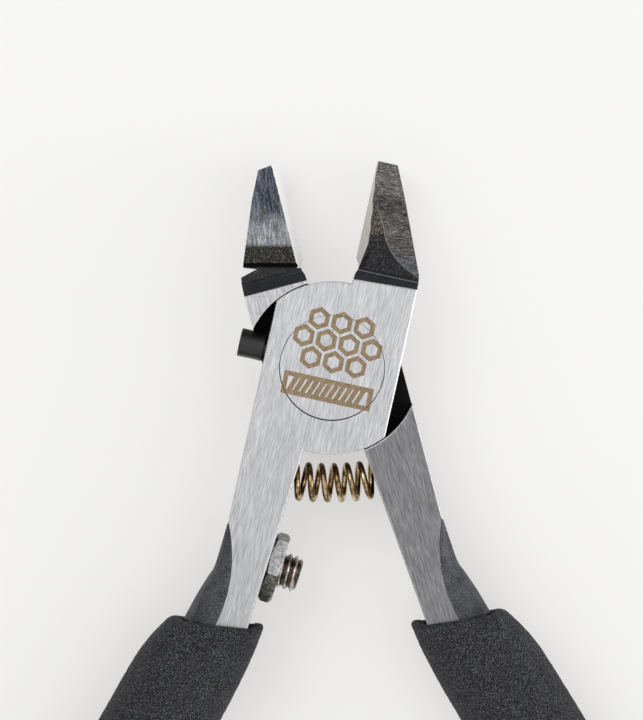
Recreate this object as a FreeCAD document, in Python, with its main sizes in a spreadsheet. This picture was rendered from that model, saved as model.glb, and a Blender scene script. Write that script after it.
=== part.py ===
import FreeCAD, Part
import math
import os
import Sketcher

# Sprue nippers: two lap-jointed levers on a flush rivet, a return spring in blind pockets,
# a sleeved pin that stops the opening, a grub screw that stops the closing, and two foam grips.
# Frame: origin on the pivot axis at the ground back face, +Z to the front face, +Y to the jaws.
# Each lever is drawn closed, with its jaw on the side SIDE and its handle on the other side,
# and its Placement then turns it to the open rest position.

SIZES = [
    # alias, value, what it is
    ("thickness", 8.4, "levers, front face to back face"),
    ("lap_gap", 0.05, "between the two halves of the lap joint"),
    ("front_open", 12.4, "front lever, turned clockwise from closed, degrees"),
    ("back_open", 14.8, "back lever, turned anticlockwise from closed, degrees"),
    ("joint_radius", 9.25, "round ends of the lap plates"),
    ("shoulder_gap", 0.1, "lap plate to the shoulder round it"),
    ("jaw_half", 7.1, "lap plate edge on the jaw side, from the axis"),
    ("handle_half", 7.3, "lap plate edge on the handle side, from the axis"),
    ("jaw_length", 22.85, "pivot to the jaw tips"),
    ("tip_width", 2.25, "jaw tip"),
    ("jaw_outer_rise", 11.7, "height of the jaw's outer corner over the pivot"),
    ("jaw_inset", 0.15, "jaw's outer corner inside the lap plate's edge"),
    ("edge_gap", 0.03, "cutting edge to the closing plane"),
    ("root_gap", 0.15, "jaw root to the closing plane"),
    ("relief_width", 0.45, "relief notch between the jaw roots"),
    ("relief_rise", 11.2, "height of the relief notch over the pivot"),
    ("edge_start", 12.2, "where the cutting edge starts"),
    ("step_start", 9.6, "foot of the step in front of the jaws"),
    ("step_end", 11.1, "top of the step in front of the jaws"),
    ("step_depth", 1.5, "drop of the jaw below the lap plate at the step"),
    ("tip_drop", 5.0, "drop of the jaw below the front face at the tip"),
    ("bevel_land", 0.8, "height of the cutting edge over the back face"),
    ("bevel_width", 0.95, "width of the inner bevel at the step"),
    ("notch_rise", 12.35, "apex of the side notch in the back lever's jaw"),
    ("notch_depth", 2.0, "side notch, inwards from the lap plate's edge"),
    ("notch_half", 0.8, "half the side notch's height at the lap plate's edge"),
    ("handle_inner", 1.08, "handle's inner corner at the joint, from the axis"),
    ("handle_tilt", 5.0, "slope of the handle's inner side, degrees"),
    ("flare_start", 18.2, "pivot to where the handle starts to flare"),
    ("flare_knee", 24.3, "pivot to the knee of the flare"),
    ("knee_width", 8.0, "outer side at the knee, from the axis"),
    ("mouth_reach", 29.1, "pivot to the grip's mouth"),
    ("mouth_width", 9.65, "outer side at the grip's mouth, from the axis"),
    ("flank_width", 3.5, "forged flank beside the ground face, at the mouth"),
    ("flank_radius", 16.0, "curved border between the ground face and the flank"),
    ("flank_drop", 2.4, "drop of the forged flank at its outer edge"),
    ("bend_start", 18.8, "slope of the handle's centre line at the mouth, degrees"),
    ("bend_end", 2.0, "slope of the handle's centre line at the end, degrees"),
    ("handle_reach", 97.5, "pivot to the end of the grips"),
    ("tang_width", 5.2, "tang inside the grip, across"),
    ("tang_thickness", 5.6, "tang inside the grip, front to back"),
    ("tang_short", 1.8, "tang's end inside the grip's end"),
    ("tang_root", 2.0, "tang's start inside the handle"),
    ("grip_mouth", 4.95, "grip radius at the mouth"),
    ("grip_upper", 5.6, "grip radius a seventh of the way down"),
    ("grip_middle", 6.25, "grip radius at mid length"),
    ("grip_lower", 6.1, "grip radius near the end"),
    ("grip_end", 5.3, "grip radius at the end"),
    ("rivet_head", 5.6, "rivet head radius at the front face"),
    ("rivet_shank", 3.5, "rivet shank radius"),
    ("rivet_tail", 4.6, "rivet tail radius at the back face"),
    ("head_depth", 2.0, "depth of the rivet's countersunk head"),
    ("tail_depth", 1.1, "depth of the rivet's spread tail"),
    ("running_gap", 0.03, "rivet to the back lever, radial"),
    ("spring_rise", 12.8, "pivot to the spring, along the closed handles"),
    ("spring_radius", 2.15, "spring, outside radius"),
    ("spring_wire", 0.65, "spring wire"),
    ("spring_turns", 9.0, "turns of the spring"),
    ("pocket_gap", 0.3, "spring to its pocket, radial"),
    ("pocket_depth", 2.5, "spring pocket, from the handle's inner side"),
    ("screw_rise", 22.2, "pivot to the stop screw, along the closed handle"),
    ("screw_radius", 2.0, "stop screw, M4 thread"),
    ("screw_pitch", 0.7, "M4 coarse pitch"),
    ("screw_length", 8.0, "stop screw"),
    ("screw_chamfer", 0.5, "chamfer at both ends of the stop screw"),
    ("screw_reach", 3.6, "stop screw's tip, out from the handle's inner side"),
    ("screw_gap", 0.03, "thread crest to the lever and the nut, radial"),
    ("socket_flats", 2.0, "hexagon socket in the stop screw"),
    ("socket_depth", 2.0, "hexagon socket in the stop screw"),
    ("nut_flats", 7.0, "M4 nut across flats"),
    ("nut_height", 1.5, "thin lock nut"),
    ("nut_slope", 30.0, "slope of the chamfer on the lock nut's corners, degrees"),
    ("nut_turn", 38.5, "lock nut's clocking, degrees"),
    ("nut_gap", 0.02, "lock nut to the handle's inner side"),
    ("pin_radius", 0.75, "stop pin"),
    ("pin_depth", 2.2, "stop pin inside the lap plate"),
    ("pin_bare", 0.2, "bare pin between the lap plate and the sleeve"),
    ("sleeve_radius", 1.525, "stop sleeve"),
    ("sleeve_length", 2.75, "stop sleeve"),
    ("pin_recess", 0.2, "stop pin's end inside the sleeve's end"),
    ("stop_gap", 0.03, "stop sleeve to the back lever's shoulder at rest"),
]

document = FreeCAD.newDocument("SprueNippers")
sheet = document.addObject("Spreadsheet::Sheet", "Sizes")
for row, (alias, value, meaning) in enumerate(SIZES, start=1):
    sheet.set("A%d" % row, meaning)
    sheet.set("B%d" % row, str(value))
    sheet.setAlias("B%d" % row, alias)
document.recompute()

UP = FreeCAD.Vector(0, 0, 1)
DOWN = FreeCAD.Vector(0, 0, -1)
FRONT_SIDE = 1
BACK_SIDE = -1
ALIASES = {alias for alias, value, meaning in SIZES}

# Share of the grip's length at which each of its radii stands
GRIP_SECTIONS = [
    (0, "grip_mouth"),
    (0.15, "grip_upper"),
    (0.5, "grip_middle"),
    (0.85, "grip_lower"),
    (1, "grip_end"),
]
HELIX_STEPS = 12

# Formulas used by more than one piece, in a lever's closed frame with the jaw on +X
PAST = "6"
OVERRUN = "1"
THROUGH = "(4 * handle_half)"
MIDDLE = "thickness / 2"
SHOULDER = "(joint_radius + shoulder_gap)"
LAP_HEIGHT = "(thickness + lap_gap) / 2"
OPENING = "(front_open + back_open)"
HANDLE_TOP = "sqrt(joint_radius ^ 2 - handle_inner ^ 2)"
MOUTH_INNER = "(handle_inner + (mouth_reach - %s) * tan(handle_tilt))" % HANDLE_TOP
MOUTH_MIDDLE = "((mouth_width + %s) / 2)" % MOUTH_INNER
BEND_RADIUS = "((handle_reach - mouth_reach) / (sin(bend_start) - sin(bend_end)))"
SCREW_SEAT = "(handle_inner + (screw_rise - %s) * tan(handle_tilt))" % HANDLE_TOP
SPRING_SEAT = "(handle_inner + (spring_rise - %s) * tan(handle_tilt) + pocket_depth)" % HANDLE_TOP
CORNER_RISE = "sqrt(%s ^ 2 - jaw_half ^ 2)" % SHOULDER
PIN_RISE = "(%s * cos(%s) - jaw_half * sin(%s) - sleeve_radius - stop_gap)" % (
    CORNER_RISE, OPENING, OPENING)
PIN_HEIGHT = "((thickness + %s) / 2)" % LAP_HEIGHT


def text(formula):
    """Expression with each size alias written as a cell of the sheet."""
    words = []
    word = ""
    for letter in formula + " ":
        if letter.isalnum() or letter in "_.":
            word += letter
            continue
        words.append("Sizes." + word if word in ALIASES else word)
        words.append(letter)
        word = ""
    return "".join(words).strip()


def number(formula):
    """Value of an expression in the sizes."""
    return float(sheet.evalExpression(text(formula)))


def bind(feature, prop, formula):
    feature.setExpression(prop, text(formula))


def plane_of(body, role):
    return next(item for item in body.Origin.OriginFeatures if item.Role == role)


def new_body(label):
    body = document.addObject("PartDesign::Body", label)
    body.Label = label
    return body


def new_sketch(body, name, role, offset="0"):
    """Sketch on one of the body's origin planes, moved along the plane's normal."""
    sketch = body.newObject("Sketcher::SketchObject", name)
    sketch.AttachmentSupport = [(plane_of(body, role), "")]
    sketch.MapMode = "FlatFace"
    bind(sketch, "AttachmentOffset.Base.z", offset)
    return sketch


def fix(sketch, geometry, point, across, along):
    """Ties a point of the sketch to two expressions."""
    for kind, formula in (("DistanceX", across), ("DistanceY", along)):
        index = sketch.addConstraint(Sketcher.Constraint(kind, geometry, point, number(formula)))
        sketch.setExpression("Constraints[%d]" % index, text(formula))


def arc_through(start, end, radius, clockwise):
    """Shorter arc of a radius from start to end."""
    chord = end - start
    half = chord.Length / 2
    left = FreeCAD.Vector(-chord.y, chord.x, 0).normalize()
    rise = math.sqrt(max(radius ** 2 - half ** 2, 0))
    centre = (start + end) / 2 + left * (-rise if clockwise else rise)
    first, last = (end, start) if clockwise else (start, end)
    angles = [math.atan2(point.y - centre.y, point.x - centre.x) for point in (first, last)]
    if angles[1] < angles[0]:
        angles[1] += 2 * math.pi
    return Part.ArcOfCircle(Part.Circle(centre, UP, radius), angles[0], angles[1])


def outline(sketch, path):
    """Closed outline. Each step is (x, y) for a line to there, or (x, y, radius, clockwise) for an arc."""
    corners = [FreeCAD.Vector(number(step[0]), number(step[1]), 0) for step in path]
    starts = []
    ends = []
    for index, step in enumerate(path):
        start, end = corners[index - 1], corners[index]
        if len(step) == 2:
            sketch.addGeometry(Part.LineSegment(start, end), False)
            starts.append(1)
            ends.append(2)
        else:
            sketch.addGeometry(arc_through(start, end, number(step[2]), step[3]), False)
            starts.append(2 if step[3] else 1)
            ends.append(1 if step[3] else 2)
    count = len(path)
    for index, step in enumerate(path):
        following = (index + 1) % count
        sketch.addConstraint(
            Sketcher.Constraint("Coincident", index, ends[index], following, starts[following]))
    for index, step in enumerate(path):
        fix(sketch, index, ends[index], step[0], step[1])
        if len(step) > 2:
            row = sketch.addConstraint(Sketcher.Constraint("Radius", index, number(step[2])))
            sketch.setExpression("Constraints[%d]" % row, text(step[2]))
    return sketch


def disc(sketch, radius, across="0", along="0"):
    """Circle in a sketch."""
    centre = FreeCAD.Vector(number(across), number(along), 0)
    sketch.addGeometry(Part.Circle(centre, UP, number(radius)), False)
    fix(sketch, 0, 3, across, along)
    row = sketch.addConstraint(Sketcher.Constraint("Radius", 0, number(radius)))
    sketch.setExpression("Constraints[%d]" % row, text(radius))
    return sketch


def pad(body, name, sketch, length, symmetric=False, reverse=False):
    feature = body.newObject("PartDesign::Pad", name)
    feature.Profile = sketch
    bind(feature, "Length", length)
    feature.SideType = "Symmetric" if symmetric else "One side"
    feature.Reversed = reverse
    return feature


def pocket(body, name, sketch, length, symmetric=False, reverse=False, taper=None):
    """Cuts a pocket and makes sure that it took something away."""
    document.recompute()
    before = body.Shape.Volume
    feature = body.newObject("PartDesign::Pocket", name)
    feature.Profile = sketch
    bind(feature, "Length", length)
    feature.SideType = "Symmetric" if symmetric else "One side"
    feature.Reversed = reverse
    if taper:
        bind(feature, "TaperAngle", taper)
    document.recompute()
    if not body.Shape.Volume < before:
        raise ValueError("%s cuts nothing" % name)
    return feature


def turned(body, kind, name, path, plane="XZ_Plane", axis="Z_Axis"):
    """Revolution or Groove of an outline about one of the body's own axes."""
    sketch = outline(new_sketch(body, name + "_profile", plane), path)
    document.recompute()
    before = body.Shape.Volume if kind == "Groove" else 0
    feature = body.newObject("PartDesign::" + kind, name)
    feature.Profile = sketch
    feature.ReferenceAxis = (plane_of(body, axis), [""])
    feature.Angle = 360
    document.recompute()
    if kind == "Groove" and not body.Shape.Volume < before:
        raise ValueError("%s cuts nothing" % name)
    return feature


def across(side, formula):
    """Formula for the X of a lever whose jaw is on the given side."""
    return formula if side == FRONT_SIDE else "-(%s)" % formula


def on_circle(x):
    return "sqrt(joint_radius ^ 2 - (%s) ^ 2)" % x


def open_out(body, side):
    """Turns a body from the closed position to the rest position."""
    axis, angle = (DOWN, "front_open") if side == FRONT_SIDE else (UP, "back_open")
    body.Placement = FreeCAD.Placement(FreeCAD.Vector(), FreeCAD.Rotation(axis, number(angle)))
    bind(body, "Placement.Rotation.Angle", angle)


def bend_point(side, angle, shift="0"):
    """Point of the handle's bend at a slope, moved outwards from the centre line."""
    x = "(-%s + %s * cos(bend_start) - (%s + %s) * cos(%s))" % (
        MOUTH_MIDDLE, BEND_RADIUS, BEND_RADIUS, shift, angle)
    y = "(-mouth_reach - %s * sin(bend_start) + (%s + %s) * sin(%s))" % (
        BEND_RADIUS, BEND_RADIUS, shift, angle)
    return across(side, x), y


def tang_outline(sketch, side):
    """The tang's outline, which is also the grip's bore."""
    half = "tang_width / 2"
    inner = "(%s - %s)" % (BEND_RADIUS, half)
    outer = "(%s + %s)" % (BEND_RADIUS, half)
    start = "(bend_start + tang_root / %s * 180 / pi)" % BEND_RADIUS
    end = "(bend_end + tang_short / %s * 180 / pi)" % BEND_RADIUS
    clockwise = side == FRONT_SIDE
    return outline(sketch, [
        bend_point(side, start, "-" + half),
        bend_point(side, end, "-" + half) + (inner, not clockwise),
        bend_point(side, end, half),
        bend_point(side, start, half) + (outer, clockwise),
    ])


def lever(label, side):
    """One lever: jaw, lap plate, handle and tang."""
    body = new_body(label)
    clockwise = side == FRONT_SIDE

    def x(formula):
        return across(side, formula)

    blank = outline(new_sketch(body, label + "_outline", "XY_Plane"), [
        (x("relief_width"), "relief_rise"),
        (x("edge_gap"), "edge_start"),
        (x("edge_gap"), "jaw_length"),
        (x("tip_width"), "jaw_length"),
        (x("jaw_half - jaw_inset"), "jaw_outer_rise"),
        (x("jaw_half"), "step_start"),
        (x("jaw_half"), "-" + on_circle("jaw_half")),
        (x("-handle_inner"), "-" + HANDLE_TOP, "joint_radius", clockwise),
        (x("-" + MOUTH_INNER), "-mouth_reach"),
        (x("-mouth_width"), "-mouth_reach"),
        (x("-knee_width"), "-flare_knee"),
        (x("-handle_half"), "-flare_start"),
        (x("-handle_half"), on_circle("handle_half")),
        (x("root_gap"), on_circle("root_gap"), "joint_radius", clockwise),
    ])
    pad(body, label + "_blank", blank, "thickness")

    jaw_top = outline(new_sketch(body, label + "_jaw_slope", "YZ_Plane"), [
        ("step_start", "thickness + " + OVERRUN),
        ("step_start", "thickness"),
        ("step_end", "thickness - step_depth"),
        ("jaw_length", "thickness - tip_drop"),
        ("jaw_length + " + OVERRUN, "thickness - tip_drop"),
        ("jaw_length + " + OVERRUN, "thickness + " + OVERRUN),
    ])
    pocket(body, label + "_jaw_face", jaw_top, THROUGH, symmetric=True)

    bevel = outline(new_sketch(body, label + "_bevel_profile", "XZ_Plane", "-relief_rise"), [
        (x("-" + OVERRUN), "bevel_land"),
        (x("0"), "bevel_land"),
        (x("bevel_width"), "thickness - step_depth"),
        (x("bevel_width"), "thickness"),
        (x("-" + OVERRUN), "thickness"),
    ])
    pocket(body, label + "_bevel", bevel, "jaw_length - relief_rise + " + OVERRUN)

    for face, height, upward in (("front", "thickness", False), ("back", "0", True)):
        name = "%s_%s_flank" % (label, face)
        flank = outline(new_sketch(body, name + "_border", "XY_Plane", height), [
            (x("-handle_half"), "-flare_start"),
            (x("-(mouth_width - flank_width)"), "-mouth_reach", "flank_radius", clockwise),
            (x("-(mouth_width - flank_width)"), "-(mouth_reach + %s)" % PAST),
            (x("-(mouth_width + %s)" % PAST), "-(mouth_reach + %s)" % PAST),
            (x("-(mouth_width + %s)" % PAST), "-flare_start"),
        ])
        pocket(body, name, flank, "flank_drop", reverse=upward, taper="-atan(flank_width / flank_drop)")

    recess_floor = "0" if side == FRONT_SIDE else "thickness"
    recess = disc(new_sketch(body, label + "_recess_circle", "XY_Plane", recess_floor), SHOULDER)
    pocket(body, label + "_recess", recess, LAP_HEIGHT, reverse=side == FRONT_SIDE)

    seat = "-" + SPRING_SEAT
    spring_circle = disc(
        new_sketch(body, label + "_spring_circle", "YZ_Plane", x(seat)),
        "spring_radius + pocket_gap", "-spring_rise", MIDDLE)
    pocket(body, label + "_spring_pocket", spring_circle, SPRING_SEAT, reverse=side == FRONT_SIDE)

    tang = tang_outline(new_sketch(body, label + "_tang_outline", "XY_Plane", MIDDLE), side)
    pad(body, label + "_tang", tang, "tang_thickness", symmetric=True)
    return body


def front_lever():
    body = lever("front_lever", FRONT_SIDE)
    turned(body, "Groove", "head_seat", [
        ("0", MIDDLE),
        ("rivet_shank", MIDDLE),
        ("rivet_shank", "thickness - head_depth"),
        ("rivet_head", "thickness"),
        ("0", "thickness"),
    ])
    pin_circle = disc(
        new_sketch(body, "pin_circle", "YZ_Plane", "pin_depth - handle_half"),
        "pin_radius", PIN_RISE, PIN_HEIGHT)
    pocket(body, "pin_hole", pin_circle, "pin_depth + " + OVERRUN)
    screw_circle = new_sketch(body, "screw_circle", "YZ_Plane")
    screw_circle.AttachmentOffset = FreeCAD.Placement(
        FreeCAD.Vector(number("-screw_rise"), number(MIDDLE), number("-" + SCREW_SEAT)),
        FreeCAD.Rotation(FreeCAD.Vector(0, -1, 0), number("handle_tilt")))
    bind(screw_circle, "AttachmentOffset.Base.x", "-screw_rise")
    bind(screw_circle, "AttachmentOffset.Base.y", MIDDLE)
    bind(screw_circle, "AttachmentOffset.Base.z", "-" + SCREW_SEAT)
    bind(screw_circle, "AttachmentOffset.Rotation.Angle", "handle_tilt")
    disc(screw_circle, "screw_radius + screw_gap")
    pocket(body, "screw_hole", screw_circle, THROUGH, symmetric=True)
    open_out(body, FRONT_SIDE)
    return body


def back_lever():
    body = lever("back_lever", BACK_SIDE)
    turned(body, "Groove", "rivet_bore", [
        ("0", "0"),
        ("rivet_tail + 2 * running_gap", "0"),
        ("rivet_shank + running_gap", "tail_depth + running_gap"),
        ("rivet_shank + running_gap", MIDDLE),
        ("0", MIDDLE),
    ])
    notch = outline(new_sketch(body, "side_notch_outline", "XY_Plane"), [
        ("-jaw_half", "notch_rise - notch_half"),
        ("-jaw_half + notch_depth", "notch_rise"),
        ("-jaw_half", "notch_rise + notch_half"),
    ])
    pocket(body, "side_notch", notch, "thickness", reverse=True)
    open_out(body, BACK_SIDE)
    return body


def pivot_rivet():
    body = new_body("pivot_rivet")
    turned(body, "Revolution", "rivet", [
        ("0", "0"),
        ("rivet_tail", "0"),
        ("rivet_shank", "tail_depth"),
        ("rivet_shank", "thickness - head_depth"),
        ("rivet_head", "thickness"),
        ("0", "thickness"),
    ])
    return body


def stop_pin():
    body = new_body("stop_pin")
    end = disc(
        new_sketch(body, "pin_end", "YZ_Plane", "pin_depth - handle_half"),
        "pin_radius", PIN_RISE, PIN_HEIGHT)
    pad(body, "pin", end, "pin_depth + pin_bare + sleeve_length - pin_recess", reverse=True)
    open_out(body, FRONT_SIDE)
    return body


def stop_sleeve():
    body = new_body("stop_sleeve")
    ring = disc(
        new_sketch(body, "sleeve_ring", "YZ_Plane", "-(handle_half + pin_bare)"),
        "sleeve_radius", PIN_RISE, PIN_HEIGHT)
    pad(body, "sleeve", ring, "sleeve_length", reverse=True)
    bore = disc(
        new_sketch(body, "sleeve_bore_circle", "YZ_Plane", "-(handle_half + pin_bare)"),
        "pin_radius", PIN_RISE, PIN_HEIGHT)
    pocket(body, "sleeve_bore", bore, THROUGH, symmetric=True)
    open_out(body, FRONT_SIDE)
    return body


def on_screw_axis(body):
    """Puts a body drawn along +X onto the stop screw's axis in the open front lever."""
    x = "(-%s * cos(front_open) - screw_rise * sin(front_open))" % SCREW_SEAT
    y = "(%s * sin(front_open) - screw_rise * cos(front_open))" % SCREW_SEAT
    turn = "front_open + handle_tilt"
    body.Placement = FreeCAD.Placement(
        FreeCAD.Vector(number(x), number(y), number(MIDDLE)), FreeCAD.Rotation(DOWN, number(turn)))
    bind(body, "Placement.Base.x", x)
    bind(body, "Placement.Base.y", y)
    bind(body, "Placement.Base.z", MIDDLE)
    bind(body, "Placement.Rotation.Angle", turn)


def hexagon(sketch, flats, turn="0"):
    corners = []
    for index in range(6):
        angle = "(%s + %d)" % (turn, 60 * index)
        corners.append(tuple("%s / sqrt(3) * %s(%s)" % (flats, wave, angle) for wave in ("cos", "sin")))
    return outline(sketch, corners)


def stop_screw():
    """Grub screw: its tip towards the other handle, its socket towards the outside."""
    body = new_body("stop_screw")
    start = "(screw_reach - screw_length)"
    turned(body, "Revolution", "screw", [
        (start, "0"),
        (start, "screw_radius - screw_chamfer"),
        (start + " + screw_chamfer", "screw_radius"),
        ("screw_reach - screw_chamfer", "screw_radius"),
        ("screw_reach", "screw_radius - screw_chamfer"),
        ("screw_reach", "0"),
    ], plane="XY_Plane", axis="X_Axis")
    socket = hexagon(new_sketch(body, "socket_hexagon", "YZ_Plane", start), "socket_flats")
    pocket(body, "socket", socket, "socket_depth", reverse=True)
    on_screw_axis(body)
    return body


def lock_nut():
    body = new_body("lock_nut")
    flats = hexagon(new_sketch(body, "nut_hexagon", "YZ_Plane", "nut_gap"), "nut_flats", "nut_turn")
    pad(body, "nut", flats, "nut_height")
    bore = disc(new_sketch(body, "nut_circle", "YZ_Plane"), "screw_radius + screw_gap")
    pocket(body, "nut_bore", bore, THROUGH, symmetric=True)
    top = "(nut_gap + nut_height)"
    rim = "(nut_flats / sqrt(3) + %s)" % OVERRUN
    turned(body, "Groove", "nut_chamfer", [
        (top, "nut_flats / 2"),
        (top, rim),
        (top + " - (%s - nut_flats / 2) * tan(nut_slope)" % rim, rim),
    ], plane="XY_Plane", axis="X_Axis")
    on_screw_axis(body)
    return body


def grip(label, side):
    """Foam sleeve round the tang: a loft of round sections along the handle's bend."""
    body = new_body(label)
    sections = []
    for index, (part, radius) in enumerate(GRIP_SECTIONS):
        slope = "(bend_start + (bend_end - bend_start) * %s)" % part
        x, y = bend_point(side, slope)
        angle = slope if part else "0"
        section = new_sketch(body, "%s_section_%d" % (label, index), "XZ_Plane", "-" + y)
        axis = FreeCAD.Vector(0, -1 if side == FRONT_SIDE else 1, 0)
        section.AttachmentOffset = FreeCAD.Placement(
            FreeCAD.Vector(number(x), number(MIDDLE), -number(y)),
            FreeCAD.Rotation(axis, number(angle)))
        bind(section, "AttachmentOffset.Base.x", x)
        bind(section, "AttachmentOffset.Base.y", MIDDLE)
        if part:
            bind(section, "AttachmentOffset.Rotation.Angle", angle)
        sections.append(disc(section, radius))
    loft = body.newObject("PartDesign::AdditiveLoft", label + "_foam")
    loft.Profile = sections[0]
    loft.Sections = sections[1:]
    bore = tang_outline(new_sketch(body, label + "_bore_outline", "XY_Plane", MIDDLE), side)
    pocket(body, label + "_bore", bore, "tang_thickness", symmetric=True)
    open_out(body, side)
    return body


def return_spring():
    """Helix bent on the arc that joins the two spring pockets when the levers are open."""
    opening = math.radians(number(OPENING))
    lean = number("(back_open - front_open) / 2")
    seat = number(SPRING_SEAT)
    rise = number("spring_rise")
    wire = number("spring_wire")
    coil = number("spring_radius") - wire / 2
    turns = number("spring_turns")
    half_chord = seat * math.cos(opening / 2) + rise * math.sin(opening / 2)
    bend = half_chord / math.sin(opening / 2)
    chord_drop = rise * math.cos(opening / 2) - seat * math.sin(opening / 2)
    centre = FreeCAD.Vector(0, -chord_drop + bend * math.cos(opening / 2), number(MIDDLE))
    inset = wire / 2 / bend
    points = []
    steps = int(turns * HELIX_STEPS)
    for step in range(steps + 1):
        part = step / steps
        along = (part - 0.5) * (opening - 2 * inset)
        turn = 2 * math.pi * turns * part
        out = FreeCAD.Vector(math.sin(along), -math.cos(along), 0)
        points.append(centre + out * (bend + coil * math.cos(turn)) + UP * (-coil * math.sin(turn)))
    path = Part.BSplineCurve()
    path.interpolate(points)
    spine = Part.Wire([path.toShape()])
    section = Part.Wire([Part.makeCircle(wire / 2, points[0], path.tangent(path.FirstParameter)[0])])
    shape = spine.makePipeShell([section], True, True)
    feature = document.addObject("Part::Feature", "return_spring")
    feature.Label = "return_spring"
    feature.Shape = shape
    feature.Placement = FreeCAD.Placement(FreeCAD.Vector(), FreeCAD.Rotation(UP, lean))
    return feature


def check_and_write(pieces):
    document.recompute()
    failed = [item.Label for item in document.Objects if "Invalid" in item.State or "Error" in item.State]
    for piece in pieces:
        if piece.Shape.isNull() or not piece.Shape.isValid() or piece.Shape.Volume <= 0:
            failed.append(piece.Label)
    if failed:
        raise ValueError("failed: " + ", ".join(failed))
    os.makedirs("parts", exist_ok=True)
    for piece in pieces:
        piece.Shape.exportStep("parts/%s.step" % piece.Label)
        box = piece.Shape.BoundBox
        print("%-13s solids %d  volume %8.2f  x %.2f..%.2f  y %.2f..%.2f  z %.2f..%.2f" % (
            piece.Label, len(piece.Shape.Solids), piece.Shape.Volume,
            box.XMin, box.XMax, box.YMin, box.YMax, box.ZMin, box.ZMax))


check_and_write([
    front_lever(),
    back_lever(),
    pivot_rivet(),
    stop_pin(),
    stop_sleeve(),
    stop_screw(),
    lock_nut(),
    grip("left_grip", FRONT_SIDE),
    grip("right_grip", BACK_SIDE),
    return_spring(),
])
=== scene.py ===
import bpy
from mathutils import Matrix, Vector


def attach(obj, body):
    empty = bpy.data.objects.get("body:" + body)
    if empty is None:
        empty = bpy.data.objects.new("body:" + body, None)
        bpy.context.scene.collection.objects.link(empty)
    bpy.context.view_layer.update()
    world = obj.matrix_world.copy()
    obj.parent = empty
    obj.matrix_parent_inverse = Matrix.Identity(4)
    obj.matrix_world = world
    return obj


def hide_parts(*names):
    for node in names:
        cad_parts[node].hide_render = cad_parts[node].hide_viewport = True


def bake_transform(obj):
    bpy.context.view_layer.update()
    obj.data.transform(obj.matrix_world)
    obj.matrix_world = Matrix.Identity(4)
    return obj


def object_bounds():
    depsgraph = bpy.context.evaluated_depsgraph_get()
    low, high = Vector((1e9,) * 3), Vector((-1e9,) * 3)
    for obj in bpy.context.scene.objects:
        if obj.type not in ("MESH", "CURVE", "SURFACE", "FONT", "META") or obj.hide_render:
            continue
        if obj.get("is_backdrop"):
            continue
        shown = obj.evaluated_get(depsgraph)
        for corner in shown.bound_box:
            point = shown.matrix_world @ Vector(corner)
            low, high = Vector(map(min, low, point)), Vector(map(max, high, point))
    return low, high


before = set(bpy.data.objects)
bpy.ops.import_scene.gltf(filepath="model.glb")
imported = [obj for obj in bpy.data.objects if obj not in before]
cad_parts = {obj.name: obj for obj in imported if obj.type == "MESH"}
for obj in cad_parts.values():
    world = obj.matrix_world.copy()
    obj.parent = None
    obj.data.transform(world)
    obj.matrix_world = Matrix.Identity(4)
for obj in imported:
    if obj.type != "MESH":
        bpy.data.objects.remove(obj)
CAD_LOW, CAD_HIGH = (list(corner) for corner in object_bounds())

from math import acos, asin, copysign, cos, pi, radians, sin, sqrt, tan

import bmesh
import bpy
from mathutils import Matrix, Vector, noise

MM = 0.001
AXIS = 0.0001         # a lathe's radius on its axis, joined to one point by weld
TOUCHING = 0.0005
CROWDED = 0.012

# Driving sizes in millimetres, in a lever's closed frame: pivot at the origin, jaws towards +Y
THICKNESS = 8.4
MIDDLE = THICKNESS / 2
LAP_GAP = 0.05
FRONT_OPEN = radians(12.4)
BACK_OPEN = radians(14.8)
JOINT_RADIUS = 9.25
SHOULDER_GAP = 0.1
JAW_HALF = 7.1
HANDLE_HALF = 7.3
JAW_LENGTH = 22.85
TIP_WIDTH = 2.25
TIP_SLOPE = 0.25
JAW_OUTER_RISE = 11.7
JAW_INSET = 0.15
EDGE_GAP = 0.03
ROOT_GAP = 0.15
RELIEF_WIDTH = 0.45
RELIEF_RISE = 11.2
EDGE_START = 12.2
STEP_START = 9.6
STEP_END = 11.1
STEP_DEPTH = 1.5
TIP_DROP = 5.0
BEVEL_LAND = 0.8
NOTCH_RISE = 12.35
HANDLE_INNER = 1.08
HANDLE_TILT = radians(5.0)
FLARE_START = 18.2
FLARE_KNEE = 24.3
MOUTH_REACH = 29.1
MOUTH_WIDTH = 9.65
FLANK_EDGE = 5.7
FLANK_END = 25.3
BEND_START = radians(18.8)
BEND_END = radians(2.0)
HANDLE_REACH = 97.5
RIVET_HEAD = 5.6
RIVET_SHANK = 3.5
RIVET_TAIL = 4.6
HEAD_DEPTH = 2.0
TAIL_DEPTH = 1.1
SPRING_RISE = 12.8
SPRING_RADIUS = 2.15
SPRING_WIRE = 0.65
SPRING_TURNS = 9.0
POCKET_DEPTH = 2.5
POCKET_GAP = 0.3
SCREW_RISE = 22.2
SCREW_RADIUS = 2.0
SCREW_PITCH = 0.7
SCREW_LENGTH = 8.0
SCREW_REACH = 3.6
SOCKET_FLATS = 2.0
SOCKET_DEPTH = 2.0
NUT_FLATS = 7.0
NUT_HEIGHT = 1.5
NUT_GAP = 0.02
NUT_TURN = radians(38.5)
PIN_RADIUS = 0.75
PIN_DEPTH = 2.2
PIN_BARE = 0.2
PIN_RECESS = 0.2
SLEEVE_RADIUS = 1.525
SLEEVE_LENGTH = 2.75
STOP_GAP = 0.03

FRONT_SIDE = 1
BACK_SIDE = -1

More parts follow.
